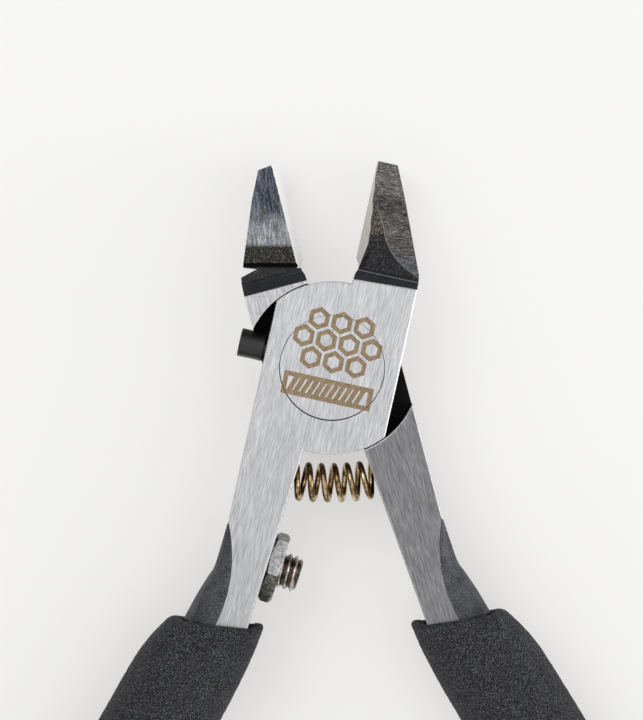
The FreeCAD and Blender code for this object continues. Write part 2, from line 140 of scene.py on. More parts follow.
# Places worked out from the sizes
SHOULDER = JOINT_RADIUS + SHOULDER_GAP
LAP_HEIGHT = (THICKNESS + LAP_GAP) / 2
OPENING = FRONT_OPEN + BACK_OPEN
HANDLE_TOP = sqrt(JOINT_RADIUS ** 2 - HANDLE_INNER ** 2)
MOUTH_INNER = HANDLE_INNER + (MOUTH_REACH - HANDLE_TOP) * tan(HANDLE_TILT)
MOUTH_MIDDLE = (MOUTH_WIDTH + MOUTH_INNER) / 2
BEND_RADIUS = (HANDLE_REACH - MOUTH_REACH) / (sin(BEND_START) - sin(BEND_END))
SCREW_SEAT = HANDLE_INNER + (SCREW_RISE - HANDLE_TOP) * tan(HANDLE_TILT)
SPRING_SEAT = HANDLE_INNER + (SPRING_RISE - HANDLE_TOP) * tan(HANDLE_TILT) + POCKET_DEPTH
CORNER_RISE = sqrt(SHOULDER ** 2 - JAW_HALF ** 2)
PIN_RISE = (CORNER_RISE * cos(OPENING) - JAW_HALF * sin(OPENING)
            - SLEEVE_RADIUS - STOP_GAP)
PIN_HEIGHT = (THICKNESS + LAP_HEIGHT) / 2


# ---------------------------------------------------------------- mesh helpers (millimetres)

def open_turn(side):
    """Rotation from the closed frame to the open rest position."""
    angle = -FRONT_OPEN if side == FRONT_SIDE else BACK_OPEN
    return Matrix.Rotation(angle, 4, "Z")


def screw_seat():
    """From a frame whose +X runs out along the stop screw to the closed lever's frame."""
    return Matrix.Translation((-SCREW_SEAT, -SCREW_RISE, MIDDLE)) @ Matrix.Rotation(-HANDLE_TILT, 4, "Z")


def new_object(name, mesh):
    item = bpy.data.objects.new(name, mesh)
    bpy.context.scene.collection.objects.link(item)
    return item


def polar(radius, angle):
    return radius * cos(angle), radius * sin(angle)


def loft(name, rings, materials, slots=None, closed_path=False):
    """Skin through rings of points. slots gives the material slot of each side of the ring."""
    mesh = bpy.data.meshes.new(name)
    for material in materials:
        mesh.materials.append(material)
    build = bmesh.new()
    rows = [[build.verts.new(Vector(point)) for point in ring] for ring in rings]
    count = len(rows[0])
    following = rows[1:] + rows[:1] if closed_path else rows[1:]
    for low, high in zip(rows, following):
        for index in range(count):
            after = (index + 1) % count
            face = build.faces.new((low[index], low[after], high[after], high[index]))
            face.material_index = slots[index] if slots else 0
    if not closed_path:
        build.faces.new(rows[0][::-1])
        build.faces.new(rows[-1])
    bmesh.ops.recalc_face_normals(build, faces=build.faces)
    build.to_mesh(mesh)
    build.free()
    return new_object(name, mesh)


def prism(name, outline, low, high, materials, slots=None, lay=None):
    """Extruded outline. lay turns (u, v, height) into (x, y, z)."""
    lay = lay or (lambda u, v, height: (u, v, height))
    rings = [[lay(u, v, height) for u, v in outline] for height in (low, high)]
    return loft(name, rings, materials, slots)


def lathe(name, profile, place, materials, slots=None, steps=96, hollow=False):
    """Turned piece: profile of (along, radius) about the place's X axis, closed on it unless hollow."""
    if not hollow:
        profile = [(profile[0][0], AXIS), *profile, (profile[-1][0], AXIS)]
    rings = [[place @ Vector((along, *polar(radius, 2 * pi * step / steps))) for along, radius in profile]
             for step in range(steps)]
    return weld(loft(name, rings, materials, slots, closed_path=True))


def hexagon(name, corner, turn, low, high, material):
    """Hexagon prism along X."""
    rings = [[(along, *polar(corner, turn + pi / 3 * index)) for index in range(6)] for along in (low, high)]
    return loft(name, rings, [material])


def weld(item, gap=TOUCHING, tiny=0.00001):
    """Joins points within the gap, such as a lathe's ends on its axis or the crowded points of a boolean."""
    build = bmesh.new()
    build.from_mesh(item.data)
    bmesh.ops.remove_doubles(build, verts=build.verts, dist=gap)
    bmesh.ops.dissolve_degenerate(build, edges=build.edges, dist=tiny)
    bmesh.ops.recalc_face_normals(build, faces=build.faces)
    build.to_mesh(item.data)
    build.free()
    return item


def upright():
    """Place whose X axis runs up the pivot."""
    return Matrix.Rotation(-pi / 2, 4, "Y")


def arc(radius, start, end, steps):
    """Points on a circle about the pivot, ends included."""
    return [polar(radius, start + (end - start) * step / steps) for step in range(steps + 1)]


def settle(item):
    """Applies the modifiers of an object."""
    graph = bpy.context.evaluated_depsgraph_get()
    mesh = bpy.data.meshes.new_from_object(item.evaluated_get(graph), preserve_all_data_layers=True,
                                           depsgraph=graph)
    item.modifiers.clear()
    old = item.data
    item.data = mesh
    bpy.data.meshes.remove(old)
    return item


def combine(item, cutter, operation="DIFFERENCE"):
    """Boolean with another solid, which is used up. New faces keep the other solid's material."""
    change = item.modifiers.new("combine", "BOOLEAN")
    change.operation = operation
    change.solver = "EXACT"
    change.material_mode = "TRANSFER"
    change.object = cutter
    settle(item)
    old = cutter.data
    bpy.data.objects.remove(cutter)
    bpy.data.meshes.remove(old)
    return item


def round_edges(item, width, angle, clamp=True):
    """Rounds the edges sharper than the angle."""
    edge = item.modifiers.new("edges", "BEVEL")
    edge.width = width
    edge.segments = 2
    edge.limit_method = "ANGLE"
    edge.angle_limit = radians(angle)
    edge.harden_normals = False
    edge.use_clamp_overlap = clamp
    return settle(item)


def chamfer_rims(item, width, slot):
    """Narrow chamfer along the edges of a plain prism's two faces."""
    build = bmesh.new()
    build.from_mesh(item.data)
    levels = (min(vert.co.z for vert in build.verts), max(vert.co.z for vert in build.verts))
    rims = [edge for edge in build.edges if edge.verts[0].co.z == edge.verts[1].co.z
            and edge.verts[0].co.z in levels]
    bmesh.ops.bevel(build, geom=rims, offset=width, offset_type="OFFSET", segments=1, profile=0.5,
                    affect="EDGES", clamp_overlap=False, material=slot)
    build.to_mesh(item.data)
    build.free()
    return item


def to_row(item, turn, angle=32):
    """Smooth shading with creases over the angle, then from millimetres into the row frame in metres."""
    item.data.shade_smooth()
    item.data.set_sharp_from_angle(angle=radians(angle))
    flat = item.modifiers.new("flat", "WEIGHTED_NORMAL")
    flat.mode = "FACE_AREA"
    flat.weight = 100
    flat.keep_sharp = True
    settle(item)
    item.data.transform(Matrix.Diagonal((MM, MM, MM, 1)) @ turn)
    item.data.update()
    return item


# ---------------------------------------------------------------- material helpers

def triple(colour):
    """A colour as three numbers. A grey may be given as one."""
    return (colour,) * 3 if isinstance(colour, (int, float)) else tuple(colour)


def between(first, second):
    """The colour halfway between two."""
    return tuple((a + b) / 2 for a, b in zip(triple(first), triple(second)))


class Nodes:
    """Short way to write a node tree in object coordinates given in millimetres."""

    def __init__(self, name):
        self.material = bpy.data.materials.new(name)
        self.material.use_nodes = True
        self.tree = self.material.node_tree
        self.shader = self.tree.nodes["Principled BSDF"]
        self.coordinates = self.add("TexCoord").outputs["Object"]

    def link(self, value, socket):
        if isinstance(value, bpy.types.NodeSocket):
            self.tree.links.new(value, socket)
        else:
            socket.default_value = value

    def add(self, kind, *values, **inputs):
        """New node, with its inputs set or linked in order or by name."""
        node = self.tree.nodes.new("ShaderNode" + kind)
        for place, value in enumerate(values):
            self.link(value, node.inputs[place])
        for name, value in inputs.items():
            self.link(value, node.inputs[name.replace("_", " ")])
        return node

    def space(self, turn=0.0, stretch=(1, 1, 1)):
        """Coordinates in millimetres, turned about Z and then stretched."""
        spin = self.add("Mapping", Vector=self.coordinates, Rotation=(0, 0, turn)).outputs["Vector"]
        return self.add("Mapping", Vector=spin, Scale=tuple(part / MM for part in stretch)).outputs["Vector"]

    def grain(self, vector, size=1.0, detail=3.0, roughness=0.5, distortion=0.0):
        return self.add("TexNoise", Vector=vector, Scale=size, Detail=detail, Roughness=roughness,
                        Distortion=distortion).outputs["Fac"]

    def rough(self, value, dull, bright):
        """Roughness against a value."""
        return self.ramp(value, (0.3, dull), (0.7, bright))

    def cells(self, vector, size):
        return self.add("TexVoronoi", Vector=vector, Scale=size).outputs["Distance"]

    def ramp(self, value, *stops):
        """Colour or grey against a value. A stop is (place, colour)."""
        node = self.add("ValToRGB", value)
        elements = node.color_ramp.elements
        while len(elements) < len(stops):
            elements.new(0.5)
        for element, (place, colour) in zip(elements, stops):
            element.position = place
            element.color = (*triple(colour), 1.0)
        return node.outputs["Color"]

    def mix(self, factor, first, second, kind="MIX"):
        node = self.add("Mix", factor)
        node.data_type = "RGBA"
        node.blend_type = kind
        for value, socket in ((first, node.inputs[6]), (second, node.inputs[7])):
            self.link(value if isinstance(value, bpy.types.NodeSocket) else (*triple(value), 1.0), socket)
        return node.outputs[2]

    def math(self, kind, first, second=0.0):
        node = self.add("Math", first, second)
        node.operation = kind
        return node.outputs[0]

    def axis(self, vector, name):
        return self.add("SeparateXYZ", vector).outputs[name]

    def band(self, value, low, high, soft):
        """1 between low and high, falling to 0 over soft on each side."""
        away = self.math("ABSOLUTE", self.math("SUBTRACT", value, (low + high) / 2))
        half = (high - low) / 2
        node = self.add("MapRange", Value=away, From_Min=half - soft / 2, From_Max=half + soft / 2,
                        To_Min=1.0, To_Max=0.0)
        node.interpolation_type = "SMOOTHSTEP"
        return node.outputs["Result"]

    def bump(self, height, strength, distance):
        return self.add("Bump", Strength=strength, Distance=distance * MM, Height=height).outputs["Normal"]

    def finish(self, colour, roughness, normal=None, metallic=0.0, **sockets):
        self.link(colour if not isinstance(colour, tuple) else colour + (1.0,),
                  self.shader.inputs["Base Color"])
        self.link(roughness, self.shader.inputs["Roughness"])
        self.link(metallic, self.shader.inputs["Metallic"])
        if normal:
            self.link(normal, self.shader.inputs["Normal"])
        for name, value in sockets.items():
            self.shader.inputs[name.replace("_", " ")].default_value = value
        return self.material


def brushed_steel(name, side, dark, light, roughness=0.42, shade=None):
    """Ground steel with long brush lines along the lever."""
    nodes = Nodes(name)
    turn = FRONT_OPEN if side == FRONT_SIDE else -BACK_OPEN
    fine = nodes.grain(nodes.space(turn, (9.0, 0.45, 2.0)), detail=4, roughness=0.62, distortion=0.15)
    broad = nodes.grain(nodes.space(turn, (1.6, 0.12, 1.0)), detail=3, roughness=0.5)
    hair = nodes.grain(nodes.space(turn, (21.0, 0.75, 4.0)), detail=3, roughness=0.6)
    streak = nodes.mix(0.45, fine, hair)
    colour = nodes.ramp(streak, (0.36, dark), (0.50, between(dark, light)), (0.62, light))
    colour = nodes.mix(0.35, colour, nodes.ramp(broad, (0.3, 0.72), (0.7, 1.0)), "MULTIPLY")
    if shade:
        colour = shade(nodes, colour, nodes.space(turn))
    normal = nodes.bump(streak, 0.35, 0.02)
    rough = nodes.rough(streak, roughness + 0.10, roughness - 0.08)
    return nodes.finish(colour, rough, normal, metallic=1.0)


def forged_black(name, tint, pale, roughness=0.48):
    """Black scale left on the forging: speckled satin with pale flecks."""
    nodes = Nodes(name)
    space = nodes.space()
    speck = nodes.grain(space, 6.0, detail=5, roughness=0.78)
    patch = nodes.grain(space, 0.6, detail=3)
    mixed = nodes.mix(0.25, speck, patch)
    colour = nodes.ramp(mixed, (0.40, tint), (0.52, between(tint, pale)), (0.62, pale))
    fleck = nodes.ramp(nodes.grain(space, 7.5, detail=4, roughness=0.75), (0.54, 0.0), (0.66, 0.6))
    colour = nodes.mix(fleck, colour, tuple(part * 2.6 for part in pale))
    normal = nodes.bump(speck, 0.5, 0.05)
    rough = nodes.rough(speck, roughness + 0.12, roughness - 0.10)
    return nodes.finish(colour, rough, normal, metallic=0.55)


def jaw_hollow(name):
    """Black scale beside the ground face: navy and speckled below, worn to brown towards the tip."""
    nodes = Nodes(name)
    speck = nodes.grain(nodes.space(FRONT_OPEN, (6.0, 4.5, 4.0)), detail=5, roughness=0.78)
    colour = nodes.ramp(speck, (0.40, (0.0012, 0.0013, 0.002)), (0.52, (0.010, 0.010, 0.013)),
                        (0.62, (0.085, 0.086, 0.09)))
    worn = nodes.ramp(speck, (0.38, (0.006, 0.004, 0.003)), (0.50, (0.055, 0.043, 0.030)),
                      (0.62, (0.28, 0.25, 0.20)))
    rise = nodes.axis(nodes.space(), "Y")
    wander = nodes.math("MULTIPLY", nodes.grain(nodes.space(), 0.9, detail=3), 3.0)
    high = nodes.band(nodes.math("ADD", rise, wander), 15.6, 30.0, 1.2)
    right = nodes.band(nodes.axis(nodes.space(), "X"), 0.0, 20.0, 0.5)
    colour = nodes.mix(nodes.math("MULTIPLY", high, right), colour, worn)
    rough = nodes.rough(speck, 0.58, 0.38)
    return nodes.finish(colour, rough, nodes.bump(speck, 0.6, 0.05), metallic=0.4)


def polished_jaw(name):
    """Polished jaw face: dark bluish streaks along the blade, paler below, darker at its root."""
    nodes = Nodes(name)
    turn = -radians(6)
    streak = nodes.grain(nodes.space(turn, (4.5, 0.30, 1.0)), detail=5, roughness=0.65, distortion=0.3)
    fine = nodes.grain(nodes.space(turn, (15.0, 1.6, 1.0)), detail=4, roughness=0.6)
    blotch = nodes.grain(nodes.space(turn, (0.9, 0.45, 1.0)), detail=4)
    speck = nodes.grain(nodes.space(turn, (6.5, 4.5, 4.0)), detail=4, roughness=0.75)
    both = nodes.mix(0.32, nodes.mix(0.40, streak, fine), speck)
    dark = nodes.ramp(both, (0.39, (0.008, 0.010, 0.015)), (0.47, (0.042, 0.050, 0.066)),
                      (0.54, (0.12, 0.135, 0.165)), (0.64, (0.36, 0.38, 0.41)))
    pale = nodes.ramp(both, (0.38, (0.070, 0.080, 0.098)), (0.49, (0.24, 0.26, 0.29)),
                      (0.60, (0.60, 0.61, 0.62)))
    rise = nodes.axis(nodes.space(), "Y")
    wander = nodes.math("MULTIPLY", blotch, 5.0)
    level = nodes.math("ADD", rise, wander)
    lower = nodes.band(level, 8.0, 18.6, 3.5)
    colour = nodes.mix(lower, dark, pale)
    brown = nodes.ramp(nodes.grain(nodes.space(turn, (1.6, 0.35, 1.0)), detail=3), (0.52, 0.0), (0.66, 0.45))
    colour = nodes.mix(brown, colour, (0.13, 0.095, 0.085))
    root_darkening = nodes.math("SUBTRACT", rise, nodes.math("MULTIPLY", fine, 0.7))
    root_darkening = nodes.band(root_darkening, 8.0, 12.75, 0.5)
    root = nodes.ramp(nodes.grain(nodes.space(turn, (9.5, 6.0, 6.0)), detail=5, roughness=0.8),
                      (0.40, (0.003, 0.003, 0.0025)), (0.52, (0.028, 0.027, 0.021)),
                      (0.63, (0.20, 0.195, 0.16)))
    colour = nodes.mix(root_darkening, colour, root)
    return nodes.finish(colour, 0.30, nodes.bump(fine, 0.25, 0.02), metallic=0.95)


def cross_ground(name):
    """Coarsely ground jaw face: scratches across the blade."""
    nodes = Nodes(name)
    lean = FRONT_OPEN - radians(6)
    scratch = nodes.grain(nodes.space(lean, (1.3, 7.5, 1.0)), detail=5, roughness=0.74, distortion=0.35)
    fine = nodes.grain(nodes.space(lean, (4.0, 15.0, 2.0)), detail=4, roughness=0.6)
    both = nodes.mix(0.45, scratch, fine)
    brown = nodes.ramp(both, (0.38, (0.020, 0.018, 0.016)), (0.46, (0.115, 0.105, 0.098)),
                       (0.54, (0.29, 0.272, 0.26)), (0.64, (0.74, 0.72, 0.70)))
    blue = nodes.ramp(both, (0.37, (0.030, 0.032, 0.038)), (0.48, (0.17, 0.18, 0.20)),
                      (0.62, (0.62, 0.63, 0.66)))
    rise = nodes.axis(nodes.space(), "Y")
    low = nodes.band(nodes.math("ADD", rise, nodes.grain(nodes.space(), 1.2)), 4.0, 12.4, 1.6)
    colour = nodes.mix(low, brown, blue)
    return nodes.finish(colour, 0.36, nodes.bump(both, 0.8, 0.05), metallic=0.9)


def even_grain(name, space, stops, roughness, bump, size=1.0, coarse=0.6, **sockets):
    """Plain surface with one even grain in its colour and its bump. space is (turn, stretch)."""
    nodes = Nodes(name)
    grain = nodes.grain(nodes.space(*space), size, detail=4, roughness=coarse)
    return nodes.finish(nodes.ramp(grain, *stops), roughness, nodes.bump(grain, *bump), **sockets)


def fine_ground(name, base):
    """Evenly ground bevel or chamfer."""
    stops = (0.35, [part * 0.75 for part in triple(base)]), (0.6, base)
    return even_grain(name, (0.0, (3.0, 3.0, 3.0)), stops, 0.33, (0.15, 0.02), metallic=0.85)


def painted_highlight_bevel(name):
    """Painted highlight: the bevel gets a near-white colour and a faint glow for the light it catches from
    the side, so it burns out to white.
    """
    stops = (0.30, 0.90), (0.6, (0.98, 0.98, 0.97))
    return even_grain(name, (0.0, (3.0, 3.0, 3.0)), stops, 0.45, (0.1, 0.02),
                      Emission_Color=(1.0, 1.0, 0.98, 1), Emission_Strength=0.12)


def oxide_and_painted_shade(name):
    """Oiled black floor of the lap recess; its near-black colour and weak specular are partly black oxide and
    partly painted shade, here and in the holes, seats and grooves that use it.
    """
    stops = (0.3, (0.001, 0.001, 0.0012)), (0.7, (0.005, 0.005, 0.0055))
    return even_grain(name, (), stops, 0.55, (0.2, 0.03), 3.0, 0.5, Specular_IOR_Level=0.12)


def etched_brown(name):
    """Etched pattern: matt brown with a fine grain."""
    stops = (0.32, (0.20, 0.135, 0.070)), (0.68, (0.42, 0.315, 0.19))
    return even_grain(name, (FRONT_OPEN, (6.0, 2.0, 2.0)), stops, 0.6, (0.4, 0.02), coarse=0.7, metallic=0.25)


def turned_steel(name, dark, light):
    """Steel with fine turning marks."""
    nodes = Nodes(name)
    space = nodes.space()
    radius = nodes.add("VectorMath", space)
    radius.operation = "LENGTH"
    rings = nodes.add("CombineXYZ", nodes.math("MULTIPLY", radius.outputs["Value"], 6.0))
    ring = nodes.grain(rings.outputs[0], 1.0, detail=4, roughness=0.7)
    patch = nodes.grain(space, 1.5, detail=4)
    both = nodes.mix(0.4, ring, patch)
    colour = nodes.ramp(both, (0.35, dark), (0.65, light))
    return nodes.finish(colour, nodes.rough(both, 0.45, 0.28), nodes.bump(ring, 0.5, 0.03),
                        metallic=1.0)


def rubber_black(name):
    """Semi-gloss black sleeve, with mould grain and dust."""
    nodes = Nodes(name)
    grain = nodes.grain(nodes.space(), 7.0, detail=4)
    dust = nodes.ramp(nodes.grain(nodes.space(), 3.0, detail=6, roughness=0.75), (0.62, 0.0), (0.78, 0.35))
    colour = nodes.mix(dust, (0.008, 0.008, 0.009), 0.10)
    return nodes.finish(colour, nodes.rough(grain, 0.36, 0.24), nodes.bump(grain, 0.2, 0.03),
                        Specular_IOR_Level=0.6)


def screw_rise(nodes, space):
    """Distance from the stop screw's axis, measured along the handle, in a space turned with the screw."""
    centre = -SCREW_SEAT * sin(HANDLE_TILT) - SCREW_RISE * cos(HANDLE_TILT)
    return nodes.math("SUBTRACT", nodes.axis(space, "Y"), centre)


def thread_steel(name):
    """Stainless thread, with painted shade in brown towards its roots and a painted highlight near white on
    its crests.
    """
    nodes = Nodes(name)
    space = nodes.space(FRONT_OPEN + HANDLE_TILT)
    patch = nodes.grain(space, 1.3, detail=5, roughness=0.65)
    fine = nodes.grain(space, 8.0, detail=3)
    rise = screw_rise(nodes, space)
    lift = nodes.math("SUBTRACT", nodes.axis(space, "Z"), MIDDLE)
    squares = nodes.math("ADD", nodes.math("MULTIPLY", rise, rise), nodes.math("MULTIPLY", lift, lift))
    away = nodes.math("SQRT", squares)
    # Painted shade and highlight: colour by distance from the axis, dark brown in the roots, near white on
    # the crests.
    crest = nodes.ramp(nodes.math("SUBTRACT", away, SCREW_RADIUS - 1.0), (0.60, (0.28, 0.20, 0.16)),
                       (0.78, (0.56, 0.49, 0.44)), (0.97, (0.96, 0.93, 0.90)))
    worn = nodes.ramp(nodes.mix(0.3, patch, fine), (0.36, 0.35), (0.60, 1.0))
    colour = nodes.mix(1.0, crest, worn, "MULTIPLY")
    return nodes.finish(colour, nodes.rough(fine, 0.36, 0.18), nodes.bump(fine, 0.3, 0.03),
                        metallic=1.0)


def zinc_with_painted_highlight(name):
    """Greenish-grey plating, with a painted highlight on the flat that faces up at rest."""
    nodes = Nodes(name)
    space = nodes.space(FRONT_OPEN + HANDLE_TILT)
    patch = nodes.grain(space, 1.6, detail=5, roughness=0.7)
    crackle = nodes.grain(nodes.space(FRONT_OPEN + HANDLE_TILT, (4.0, 8.0, 4.0)), detail=5, roughness=0.78)
    both = nodes.mix(0.55, patch, crackle)
    dull = nodes.ramp(both, (0.38, (0.020, 0.019, 0.013)), (0.50, (0.15, 0.147, 0.118)),
                      (0.61, (0.50, 0.50, 0.46)))
    # Painted highlight: a brighter copy of the plating colour, put on the flat that faces up.
    bright = nodes.ramp(both, (0.37, 0.20), (0.48, 0.58), (0.59, 1.0))
    corner = NUT_FLATS / sqrt(3)
    flat = nodes.band(screw_rise(nodes, space), corner * cos(NUT_TURN + pi / 3),
                      corner * cos(NUT_TURN), 0.16)
    colour = nodes.mix(flat, dull, bright)
    return nodes.finish(colour, nodes.rough(both, 0.46, 0.24), nodes.bump(both, 0.45, 0.05),
                        metallic=0.9)


def spring_gold(name):
    """Golden-brown oiled music wire, with drawing lines along it."""
    nodes = Nodes(name)
    space = nodes.space()
    patch = nodes.grain(space, 1.2, detail=4)
    fine = nodes.grain(space, 9.0, detail=3)
    both = nodes.mix(0.35, patch, fine)
    colour = nodes.ramp(both, (0.36, (0.10, 0.050, 0.018)), (0.50, (0.40, 0.26, 0.12)),
                        (0.62, (0.86, 0.72, 0.48)))
    return nodes.finish(colour, nodes.rough(fine, 0.24, 0.12), nodes.bump(fine, 0.2, 0.02),
                        metallic=1.0)


def grip_foam(name):
    """Closed-cell foam: charcoal, with open pores and pale specks of the cell walls."""
    nodes = Nodes(name)
    space = nodes.space()
    pores = nodes.cells(space, 5.6)
    specks = nodes.grain(space, 7.6, detail=4, roughness=0.72)
    patch = nodes.grain(space, 0.5, detail=3)
    pit = nodes.ramp(pores, (0.10, 0.0), (0.45, 1.0))
    both = nodes.mix(0.30, specks, pit)
    colour = nodes.ramp(nodes.mix(0.05, both, patch), (0.43, (0.0022, 0.0022, 0.0030)),
                        (0.56, (0.0085, 0.0088, 0.0115)), (0.64, (0.032, 0.033, 0.039)),
                        (0.72, (0.15, 0.152, 0.165)))
    height = nodes.math("ADD", nodes.math("MULTIPLY", pit, 0.6), specks)
    return nodes.finish(colour, nodes.rough(specks, 0.92, 0.70), nodes.bump(height, 0.9, 0.16),
                        Specular_IOR_Level=0.35)


def painted_shade_back_handle(nodes, colour, space):
    """Painted shade: the back lever's face is darkened below the joint and kept lighter beside the jaw."""
    rise = nodes.axis(space, "Y")
    share = nodes.ramp(nodes.math("DIVIDE", nodes.math("ADD", rise, 12.0), 24.0), (0.30, 0.42), (0.62, 1.0))
    return nodes.mix(1.0, colour, share, "MULTIPLY")


def lower_handle(nodes, colour, space):
    """The front lever's face, slightly darker towards the grip."""
    rise = nodes.axis(space, "Y")
    share = nodes.ramp(nodes.math("DIVIDE", nodes.math("ADD", rise, 30.0), 40.0), (0.0, 0.80), (0.8, 1.0))
    return nodes.mix(1.0, colour, share, "MULTIPLY")


def make_materials():
    return {
        "front_face": brushed_steel("front_face_steel", FRONT_SIDE, (0.43, 0.435, 0.455), (0.83, 0.83, 0.85),
                                    shade=lower_handle),
        "back_face": brushed_steel("back_face_steel", BACK_SIDE, (0.31, 0.31, 0.34), (0.86, 0.86, 0.89),
                                   shade=painted_shade_back_handle),
        "front_side": brushed_steel("front_side_steel", FRONT_SIDE, 0.20, 0.45, 0.5),
        "back_side": brushed_steel("back_side_steel", BACK_SIDE, 0.20, 0.45, 0.5),
        "chamfer": fine_ground("chamfer_steel", 0.92),
        # The front jaw's strip has a darker grey as painted shade, a shaded copy of the back jaw's bevel.
        "strip": fine_ground("painted_shade_cutting_strip", (0.52, 0.50, 0.45)),
        "painted_highlight_strip": painted_highlight_bevel("bright_bevel_steel"),
        "crease": fine_ground("crease_steel", (0.46, 0.45, 0.44)),
        "ridge": fine_ground("ridge_steel", (0.16, 0.16, 0.18)),
        "forged": forged_black("forged_black", (0.016, 0.017, 0.020), (0.115, 0.118, 0.132)),
        # Forged black scale made darker than the flank's as painted shade, for the step's sloped face and the
        # notch.
        "band": forged_black("step_black_and_painted_shade", (0.004, 0.0045, 0.007), (0.036, 0.038, 0.048), 0.45),
        "hollow": jaw_hollow("hollow_black"),
        "recess": oxide_and_painted_shade("recess_oxide_and_painted_shade"),
        "jaw_polish": polished_jaw("polished_jaw"),
        "jaw_ground": cross_ground("cross_ground_jaw"),
        "etched": etched_brown("etched_brown"),
        "tail": turned_steel("turned_rivet_tail", (0.42, 0.42, 0.41), (0.62, 0.62, 0.61)),
        "pin": turned_steel("turned_pin", 0.05, 0.16),
        "sleeve": rubber_black("sleeve_rubber"),
        "screw": thread_steel("thread_steel"),
        "zinc": zinc_with_painted_highlight("zinc_with_painted_highlight"),
        "spring": spring_gold("spring_gold"),
        "foam": grip_foam("foam_charcoal"),
    }


# ---------------------------------------------------------------- levers

def flank_outer(rise):
    """Outer side of the flare at a distance below the pivot."""
    return spline_at(((FLARE_START, HANDLE_HALF), (21.0, 7.5), (FLARE_KNEE - 0.7, 7.75),
                      (FLARE_KNEE + 0.4, 8.2), (27.0, 9.0), (MOUTH_REACH + 0.5, 9.75)), rise)


def flank_border(rise):
    """Border between the ground face and the forged flank."""
    return FLANK_EDGE + (HANDLE_HALF - FLANK_EDGE) * ((rise - FLANK_END) / (FLANK_END - FLARE_START)) ** 2


def spline_at(points, place):
    """Smooth curve through (place, value) points, without overshoot."""
    for index in range(len(points) - 1):
        (left, low), (right, high) = points[index], points[index + 1]
        if place <= right or index == len(points) - 2:
            break
    width = right - left
    share = min(max((place - left) / width, 0.0), 1.0)

    def slope(middle):
        if middle in (0, len(points) - 1):
            return (high - low) / width
        before, after = points[middle - 1], points[middle + 1]
        return (after[1] - before[1]) / (after[0] - before[0])

    first, last = slope(index) * width, slope(index + 1) * width
    square, cube = share ** 2, share ** 3
    return ((2 * cube - 3 * square + 1) * low + (cube - 2 * square + share) * first
            + (3 * square - 2 * cube) * high + (cube - square) * last)


def lever_outline(side):
    """Outline of a lever down to the grip's mouth."""
    reach = MOUTH_REACH + 0.5
    inner = HANDLE_INNER + (reach - HANDLE_TOP) * tan(HANDLE_TILT)
    lower = arc(JOINT_RADIUS, -acos(JAW_HALF / JOINT_RADIUS),
                -pi / 2 - asin(HANDLE_INNER / JOINT_RADIUS), 30)
    upper = arc(JOINT_RADIUS, pi - acos(HANDLE_HALF / JOINT_RADIUS),
                pi / 2 - asin(ROOT_GAP / JOINT_RADIUS), 30)
    rises = [reach - (reach - FLARE_START) * step / 14 for step in range(15)]
    flare = [(-flank_outer(rise), -rise) for rise in rises]
    tip = JAW_LENGTH - (TIP_SLOPE if side == BACK_SIDE else 0.0)
    points = [
        (0.25, 10.4), (RELIEF_WIDTH, 10.9), (RELIEF_WIDTH + 0.02, RELIEF_RISE + 0.15), (0.36, 11.75),
        (EDGE_GAP, EDGE_START), (EDGE_GAP, JAW_LENGTH), (TIP_WIDTH, tip),
        (3.72, 19.6), (JAW_HALF - JAW_INSET, JAW_OUTER_RISE), (JAW_HALF - 0.04, JAW_OUTER_RISE - 0.7),
        (JAW_HALF, STEP_START),
    ] + lower + [(-inner, -reach)] + flare + upper
    return [(side * x, y) for x, y in points]


STEP_SLANT = 0.05
POLISH_LOW = (11.20, 6.30)
POLISH_TIP = (23.4, 2.72)
GRIND_CREASE = 0.989
GRIND_WIDTHS = ((12.9, 8.56), (14.4, 8.38), (16.2, 8.17), (17.9, 8.83), (19.2, 11.5))


def polish_plane(rise):
    """Height of the back jaw's polished face."""
    share = (rise - POLISH_LOW[0]) / (POLISH_TIP[0] - POLISH_LOW[0])
    return POLISH_LOW[1] + share * (POLISH_TIP[1] - POLISH_LOW[1])


def jaw_plane(rise):
    """Height of the jaw's front face."""
    share = (rise - STEP_END) / (JAW_LENGTH - STEP_END)
    return THICKNESS - STEP_DEPTH - share * (TIP_DROP - STEP_DEPTH)


def grind_cutter(materials):
    """Scoop left by the grinding wheel on the front lever's jaw, with a bright crease along its border."""
    middle, wheel, deep = (9.5, 19.5), 8.5, 1.1
    shares = (0.20, 0.40, 0.60, 0.75, 0.88, GRIND_CREASE, 1.0, 1.12)
    turns, rises = 48, 24
    low, high = [], []
    for step in range(turns + rises + 1):
        angle = pi / 2 * max(0.0, 1 - step / turns)
        lift = 0.19 * max(0, step - turns)
        below, above = [], []
        for share in shares:
            y = middle[1] - wheel * share * sin(angle) + lift
            x = middle[0] - spline_at(GRIND_WIDTHS, y) * share * cos(angle)
            fall = deep * (1 - share ** 2) * (1 if share <= 1 else 5)
            below.append((x, y, jaw_plane(max(y, STEP_END)) - fall))
            above.append((x, y, THICKNESS + 4))
        low.append(below)
        high.append(above)
    rings = [below + above[::-1] for below, above in zip(low, high)]
    slots = [0] * (len(shares) - 3) + [1] + [0] * (len(shares) + 2)
    return loft("grind", rings, [materials["jaw_ground"], materials["crease"]], slots)


def flank_cutter(side, front, material):
    """Takes the rounded forged flank off the handle's outer side, on the front or the back."""
    rings = []
    steps, around = 26, 8
    top = THICKNESS + 2
    for step in range(steps + 1):
        rise = FLARE_START - 0.02 + (MOUTH_REACH + 0.8 - FLARE_START) * step / steps
        border, outer = flank_border(rise), flank_outer(rise) + 0.02
        width = max(outer - border, 0.01)
        drop = min(3.3, 1.05 * width)
        ring = [(border, top)]
        start = radians(28)
        for turn in range(around + 1):
            angle = start + (pi / 2 - start) * turn / around
            out = (sin(angle) - sin(start)) / (1 - sin(start))
            down = (cos(start) - cos(angle)) / cos(start)
            ring.append((border + width * out, THICKNESS - drop * down))
        ring += [(outer + 3, THICKNESS - drop - 0.01), (outer + 3, top)]
        points = []
        for x, height in ring:
            points.append((-side * x, -rise, height if front else THICKNESS - height))
        rings.append(points)
    return loft("flank", rings, [material])


